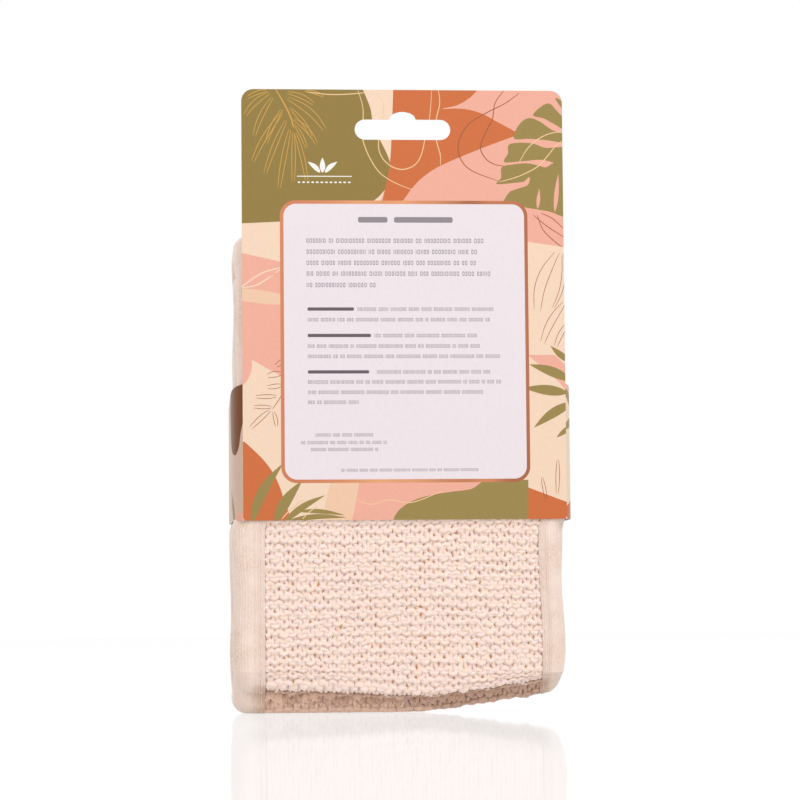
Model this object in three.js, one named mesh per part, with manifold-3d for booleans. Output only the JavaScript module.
// Folded loofah back strap in a printed hang-card sleeve.
// Millimetres, +Z up. The printed back of the card faces -Y, and the pack
// stands on the flat under its bottom fold at z = 0.
import * as THREE from "three";
import { mergeVertices } from "three/addons/utils/BufferGeometryUtils.js";
import Module from "manifold-3d";

// ---- driving dimensions ----

const FIT = 0.3; // gap left between pieces that touch in the real object
const Y_SHIFT = -0.3; // puts the whole object midway about y = 0

// The strap is a sandwich; n is measured from its middle towards the knit.
const STRAP = {
  panelHalf: 51.2, // where knit, foam and backing end inside the binding
  faceHalf: 47, // the knit that shows between the two binding flaps
  half: 55.5, // outside edge of the binding
  skin: 5.2, // half the bound thickness
  knit: [1.3, 5.2],
  knitEdge: 4.5, // the knit is thinner where the binding laps over it
  foam: [-2.3, 1.1],
  backing: [-4.5, -2.5],
  foamShort: 20, // the foam stops this far from each end, for the webbing
};

const FLAP = 47.3; // inner edge of the binding flap
const CHANNEL = { half: 51.5, skin: 4.7 }; // the space inside the binding

// Middle line of the strap, from its outer end to its inner end, as [y, z, r].
const OUTER_END = { y: 17.8, z: 80 };
const INNER_END = { y: -7, z: 22 };
const FOLD = [
  [17.8, 152.8, 13],
  [-17.8, 152.8, 13],
  [-17.8, 10.5, 6],
  [-12, 5.2, 6],
  [7, 5.2, 5.6],
  [7, 142, 6.8],
  [-7, 142, 6.8],
];

// The tape that closes each end of the strap.
const END = { below: 4, above: 4, slotHalf: 13, slot: [-2.5, 1.3] };

// Nylon webbing, folded in two, gives each end its hand loop.
const WEB = { half: 12.5, thick: 1.5, pair: 3.2, tail: 18 };
const WEB_N = -0.6; // the pair runs where the foam stops
const TUCK = { y: 0.35, turnZ: 15.6, topZ: 75 };
const SWING = { z: 62, reach: 58, gap: 5.6, neck: 7, belly: 26 };

// Printed card: a header over a band that goes round the fold.
const CARD = {
  thick: 0.5,
  half: 53.7, // half the width between the side creases
  bottom: 63.6,
  crease: 108.7, // where the header starts
  top: 207,
  corner: 4,
  frontY: -24, // outside of the labelled panel
  rearY: 24.6, // outside of the display panel
  bulge: 3.6, // the side walls swell round the strap
  rearTop: 100, // side walls fall to this at the rear creases
  rearDip: 91, // the display panel's edge dips to this
};
const SLOT = { length: 32, height: 6.8, drop: 10, hump: 4.4, rise: 2.5 };
const GLUE = { width: 12, y: [23.35, 23.85], z: [66.5, 97], slope: 2.5 };

// ---- geometry helpers ----

const wasm = await Module();
wasm.setup();

// Points along a polyline of [y, z, r] corners with each corner rounded to r.
function filletPath(first, corners, last, step = 0.16) {
  const points = [new THREE.Vector2(...first)];
  const all = [first, ...corners, last].map((c) => new THREE.Vector2(c[0], c[1]));
  corners.forEach((corner, i) => {
    const [before, at, after] = [all[i], all[i + 1], all[i + 2]];
    const into = at.clone().sub(before).normalize();
    const out = after.clone().sub(at).normalize();
    const turn = Math.atan2(into.cross(out), into.dot(out));
    const reach = corner[2] * Math.tan(Math.abs(turn) / 2);
    const side = new THREE.Vector2(-into.y, into.x).multiplyScalar(Math.sign(turn));
    const start = at.clone().addScaledVector(into, -reach);
    const centre = start.clone().addScaledVector(side, corner[2]);
    const count = Math.max(3, Math.ceil(Math.abs(turn) / step));
    for (let k = 0; k <= count; k++) {
      const spoke = start.clone().sub(centre);
      spoke.rotateAround(new THREE.Vector2(), (turn * k) / count);
      points.push(centre.clone().add(spoke));
    }
  });
  points.push(new THREE.Vector2(...last));
  return points;
}

// Unit normals on the right-hand side of a path, mitred at its corners.
function rightNormals(path) {
  return path.map((p, i) => {
    const into = p.clone().sub(path[Math.max(i - 1, 0)]);
    const out = path[Math.min(i + 1, path.length - 1)].clone().sub(p);
    if (i === 0) into.copy(out);
    if (i === path.length - 1) out.copy(into);
    const mean = into.normalize().add(out.normalize()).normalize();
    const stretch = 1 / Math.max(mean.dot(out), 0.5);
    return new THREE.Vector2(mean.y, -mean.x).multiplyScalar(stretch);
  });
}

function signedVolume(positions, index) {
  const [a, b, c] = [0, 1, 2].map(() => new THREE.Vector3());
  let sum = 0;
  for (let i = 0; i < index.length; i += 3) {
    a.fromArray(positions, index[i] * 3);
    b.fromArray(positions, index[i + 1] * 3);
    c.fromArray(positions, index[i + 2] * 3);
    sum += a.dot(b.cross(c));
  }
  return sum;
}

function fromTriangles(positions, index) {
  if (signedVolume(positions, index) < 0) {
    for (let i = 0; i < index.length; i += 3) {
      [index[i + 1], index[i + 2]] = [index[i + 2], index[i + 1]];
    }
  }
  const geometry = new THREE.BufferGeometry();
  geometry.setAttribute("position", new THREE.Float32BufferAttribute(positions, 3));
  geometry.setIndex(index);
  return geometry;
}

// Joins rings of points, all with the outline's order, into one closed skin.
function loft(rings, outline) {
  const count = outline.length;
  const index = [];
  for (let i = 0; i + 1 < rings.length; i++) {
    for (let k = 0; k < count; k++) {
      const [a, b] = [i * count + k, i * count + ((k + 1) % count)];
      index.push(a, b, b + count, a, b + count, a + count);
    }
  }
  const last = (rings.length - 1) * count;
  for (const [a, b, c] of THREE.ShapeUtils.triangulateShape(outline, [])) {
    index.push(a, c, b, last + a, last + b, last + c);
  }
  return fromTriangles(rings.flat(2), index);
}

// Carries an outline of (x, n) points along a path of (y, z) points.
function carry(outline, path) {
  const points = outline.map(([x, n]) => new THREE.Vector2(x, n));
  const ordered = THREE.ShapeUtils.isClockWise(points) ? points.reverse() : points;
  const normals = rightNormals(path);
  const rings = path.map((p, i) =>
    ordered.map((q) => [q.x, p.x + normals[i].x * q.y, p.y + normals[i].y * q.y]),
  );
  return loft(rings, ordered);
}

function boxBetween(x, y, z) {
  const box = new THREE.BoxGeometry(x[1] - x[0], y[1] - y[0], z[1] - z[0]);
  return box.translate((x[0] + x[1]) / 2, (y[0] + y[1]) / 2, (z[0] + z[1]) / 2);
}

function toSolid(geometry) {
  const bare = geometry.clone();
  bare.deleteAttribute("normal");
  bare.deleteAttribute("uv");
  const merged = mergeVertices(bare, 1e-4);
  const mesh = new wasm.Mesh({
    numProp: 3,
    vertProperties: Float32Array.from(merged.attributes.position.array),
    triVerts: Uint32Array.from(merged.index.array),
  });
  return new wasm.Manifold(mesh);
}

function fromSolid(solid) {
  const mesh = solid.getMesh();
  return fromTriangles(Array.from(mesh.vertProperties), Array.from(mesh.triVerts));
}

function cut(geometry, ...cutters) {
  let solid = toSolid(geometry);
  for (const cutter of cutters) solid = solid.subtract(toSolid(cutter));
  return fromSolid(solid);
}

function join(a, b) {
  return fromSolid(toSolid(a).add(toSolid(b)));
}

// A flat outline of (x, z) or (y, z) points as a plate across the third axis.
function plate(shape, thickness, curveSegments = 8) {
  return new THREE.ExtrudeGeometry(shape, {
    depth: thickness,
    bevelEnabled: false,
    curveSegments,
  });
}

// Stands a plate drawn in (x, z) so that it fills y[0] to y[1].
function upright(shape, y, curveSegments) {
  return plate(shape, y[1] - y[0], curveSegments)
    .rotateX(Math.PI / 2)
    .translate(0, y[1], 0);
}

// Turns a plate drawn in (y, z) so that it fills x = -half to half.
function across(shape, half, curveSegments) {
  const geometry = plate(shape, half * 2, curveSegments).translate(0, 0, -half);
  const swap = new THREE.Matrix4().makeBasis(
    new THREE.Vector3(0, 1, 0),
    new THREE.Vector3(0, 0, 1),
    new THREE.Vector3(1, 0, 0),
  );
  return geometry.applyMatrix4(swap);
}

// ---- strap ----

// The strap's middle line, with each end drawn back by lift.
function strapPath(lift = 0) {
  const first = [OUTER_END.y, OUTER_END.z + lift];
  const last = [INNER_END.y, INNER_END.z + lift];
  return filletPath(first, FOLD, last);
}

// The knit stands proud between the binding flaps and is thin under them.
function knitFace() {
  const { faceHalf: f, knit, knitEdge: e } = STRAP;
  const outline = [[-f, e - 0.5], [f, e - 0.5], [f, knit[1]], [-f, knit[1]]];
  const proud = carry(outline, strapPath(END.above + FIT));
  return join(layer([knit[0], e]), proud);
}

function layer([low, high], lift = 0) {
  const w = STRAP.panelHalf;
  const outline = [[-w, low], [w, low], [w, high], [-w, high]];
  return carry(outline, strapPath(lift));
}

// The half-round outside edge of the bound strap, from knit side to back on
// the right (side 1), and from back to knit side on the left (side -1).
function roundEdge(side) {
  const r = STRAP.skin;
  const points = [];
  for (let k = 0; k <= 10; k++) {
    const turn = Math.PI / 2 - (Math.PI * k) / 10;
    const x = STRAP.half - r + r * Math.cos(turn);
    points.push([side * x, side * r * Math.sin(turn)]);
  }
  return points;
}

// A folded tape, open towards the panels, with a rounded outside edge.
function edgeBinding(side) {
  const r = side * STRAP.skin;
  const inner = side * CHANNEL.skin;
  const [flap, floor] = [side * FLAP, side * CHANNEL.half];
  const mouth = [[flap, inner], [flap, r]];
  const hollow = [[flap, -r], [flap, -inner], [floor, -inner], [floor, inner]];
  const outline = [...mouth, ...roundEdge(side), ...hollow];
  return carry(outline, strapPath(END.above + FIT));
}

// Closes one end of the strap. facing is +1 where the knit faces +Y.
function endBinding(end, facing) {
  const [low, high] = [end.z - END.below, end.z + END.above];
  const outline = [1, -1].flatMap((side) => roundEdge(side));
  const body = carry(outline, [low, high].map((z) => new THREE.Vector2(end.y, z)));
  const inside = boxBetween(
    [-CHANNEL.half, CHANNEL.half],
    [end.y - CHANNEL.skin, end.y + CHANNEL.skin],
    [end.z - FIT, high + 1],
  );
  const slot = END.slot.map((n) => end.y + facing * n).sort((a, b) => a - b);
  const way = boxBetween([-END.slotHalf, END.slotHalf], slot, [low - 1, end.z + 1]);
  return cut(body, inside, way);
}

// ---- hand loops ----

// The inner loop turns back under the strap's end and lies between two layers.
function innerHandle() {
  const y = INNER_END.y - WEB_N;
  const turn = (TUCK.y - y) / 2;
  const first = [y, INNER_END.z + WEB.tail];
  const corners = [
    [y, TUCK.turnZ - turn, turn * 0.999],
    [TUCK.y, TUCK.turnZ - turn, turn * 0.999],
  ];
  const path = filletPath(first, corners, [TUCK.y, TUCK.topZ], 0.3);
  const [w, t] = [WEB.half, WEB.pair / 2];
  return carry([[-w, -t], [w, -t], [w, t], [-w, t]], path);
}

function outerHandleTail() {
  const y = OUTER_END.y + WEB_N;
  const t = WEB.pair / 2;
  return boxBetween(
    [-WEB.half, WEB.half],
    [y - t, y + t],
    [SWING.z + t + FIT, OUTER_END.z + WEB.tail],
  );
}

// The free part of the outer loop: a long drop with a round top at its hinge.
function outerHandleLoop() {
  const y = OUTER_END.y + WEB_N;
  const half = (grow) => SWING.gap / 2 + grow;
  const foot = SWING.z - SWING.reach;
  const drop = (top, neck, wide, low) => {
    const side = (s) => y + s * wide;
    const loop = new THREE.Shape();
    loop.moveTo(y - neck, top);
    loop.bezierCurveTo(
      y - neck, top - 8, side(-1), top - SWING.belly + 8, side(-1), top - SWING.belly,
    );
    loop.lineTo(side(-1), low + wide);
    loop.absarc(y, low + wide, wide, Math.PI, 2 * Math.PI, false);
    loop.lineTo(side(1), top - SWING.belly);
    loop.bezierCurveTo(
      side(1), top - SWING.belly + 8, y + neck, top - 8, y + neck, top,
    );
    return loop;
  };
  const outer = drop(SWING.z, WEB.pair / 2, half(WEB.thick), foot);
  outer.absarc(y, SWING.z, WEB.pair / 2, 0, Math.PI, false);
  const inner = drop(SWING.z - SWING.neck, 0.1, half(0), foot + WEB.thick);
  outer.holes.push(inner);
  return across(outer, WEB.half, 8);
}

// ---- card sleeve ----

function hangSlot() {
  const end = SLOT.height / 2;
  const top = CARD.top - SLOT.drop;
  const mid = top - end;
  const reach = SLOT.length / 2 - end;
  const slot = new THREE.Path();
  slot.moveTo(-reach, mid - end);
  slot.lineTo(reach, mid - end);
  slot.absarc(reach, mid, end, -Math.PI / 2, Math.PI / 2, false);
  slot.lineTo(SLOT.hump, top);
  slot.bezierCurveTo(
    SLOT.hump * 0.8, top + SLOT.rise * 1.3, -SLOT.hump * 0.8, top + SLOT.rise * 1.3,
    -SLOT.hump, top,
  );
  slot.lineTo(-reach, top);
  slot.absarc(-reach, mid, end, Math.PI / 2, (3 * Math.PI) / 2, false);
  return slot;
}

function headerCard() {
  const { half: w, corner: r, top } = CARD;
  const low = CARD.crease + FIT / 2;
  const card = new THREE.Shape();
  card.moveTo(-w, low);
  card.lineTo(w, low);
  card.lineTo(w, top - r);
  card.absarc(w - r, top - r, r, 0, Math.PI / 2, false);
  card.lineTo(-w + r, top);
  card.absarc(-w + r, top - r, r, Math.PI / 2, Math.PI, false);
  card.holes.push(hangSlot());
  return upright(card, [CARD.frontY, CARD.frontY + CARD.thick], 10);
}

function labelPanel() {
  const high = CARD.crease - FIT / 2;
  const y = [CARD.frontY, CARD.frontY + CARD.thick];
  return boxBetween([-CARD.half, CARD.half], y, [CARD.bottom, high]);
}

function displayPanel() {
  const { half: w, bottom, rearTop, rearDip } = CARD;
  const card = new THREE.Shape();
  card.moveTo(-w, bottom);
  card.lineTo(w, bottom);
  card.lineTo(w, rearTop);
  card.bezierCurveTo(w * 0.55, rearDip - 1, -w * 0.55, rearDip - 1, -w, rearTop);
  return upright(card, [CARD.rearY - CARD.thick, CARD.rearY], 24);
}

// A side wall: a thin sheet from crease to crease that swells round the strap.
function sideWall(side) {
  const front = CARD.frontY + CARD.thick + FIT;
  const rear = CARD.rearY - CARD.thick - FIT;
  const count = 24;
  const rings = [];
  for (let i = 0; i <= count; i++) {
    const share = i / count;
    const y = front + (rear - front) * share;
    const swell = CARD.bulge * (1 - Math.abs(share * 2 - 1) ** 6);
    const outside = CARD.half + swell;
    const inside = outside - CARD.thick;
    const top = CARD.crease - (CARD.crease - CARD.rearTop) * share;
    rings.push([
      [side * inside, y, CARD.bottom],
      [side * outside, y, CARD.bottom],
      [side * outside, y, top],
      [side * inside, y, top],
    ]);
  }
  const outline = [[0, 0], [1, 0], [1, 1], [0, 1]];
  return loft(rings, outline.map(([a, b]) => new THREE.Vector2(a, b)));
}

function glueFlap() {
  const outer = CARD.half - CARD.thick - FIT;
  const inner = outer - GLUE.width;
  const [low, high] = GLUE.z;
  const flap = new THREE.Shape();
  flap.moveTo(outer, low);
  flap.lineTo(outer, high);
  flap.lineTo(inner, high - GLUE.slope);
  flap.lineTo(inner, low + GLUE.slope);
  return upright(flap, GLUE.y, 1);
}

// ---- assembly ----

const MATERIAL = {
  knit: { color: 0xf0d6c7, roughness: 0.95 },
  foam: { color: 0xf4ecdc, roughness: 0.9 },
  backing: { color: 0xf1dfd2, roughness: 0.9 },
  binding: { color: 0xf3dcce, roughness: 0.95 },
  webbing: { color: 0xe9dccb, roughness: 0.7 },
  card: { color: 0xa28a58, roughness: 0.5 },
  cardWall: { color: 0xd2b2a1, roughness: 0.5 },
};

const group = new THREE.Group();

function add(name, geometry, slot) {
  const clean = geometry.index ? geometry : mergeVertices(geometry);
  clean.translate(0, Y_SHIFT, 0);
  clean.computeVertexNormals();
  const mesh = new THREE.Mesh(clean, new THREE.MeshStandardMaterial(MATERIAL[slot]));
  mesh.name = name;
  group.add(mesh);
}

add("knit_face", knitFace(), "knit");
add("foam_core", layer(STRAP.foam, STRAP.foamShort), "foam");
add("backing_panel", layer(STRAP.backing), "backing");
add("left_edge_binding", edgeBinding(-1), "binding");
add("right_edge_binding", edgeBinding(1), "binding");
add("inner_end_binding", endBinding(INNER_END, -1), "binding");
add("outer_end_binding", endBinding(OUTER_END, 1), "binding");
add("inner_handle_loop", innerHandle(), "webbing");
add("outer_handle_tail", outerHandleTail(), "webbing");
add("outer_handle_loop", outerHandleLoop(), "webbing");
add("header_card", headerCard(), "card");
add("label_panel", labelPanel(), "card");
add("left_side_wall", sideWall(-1), "cardWall");
add("right_side_wall", sideWall(1), "cardWall");
add("display_panel", displayPanel(), "card");
add("glue_flap", glueFlap(), "cardWall");

export default group;
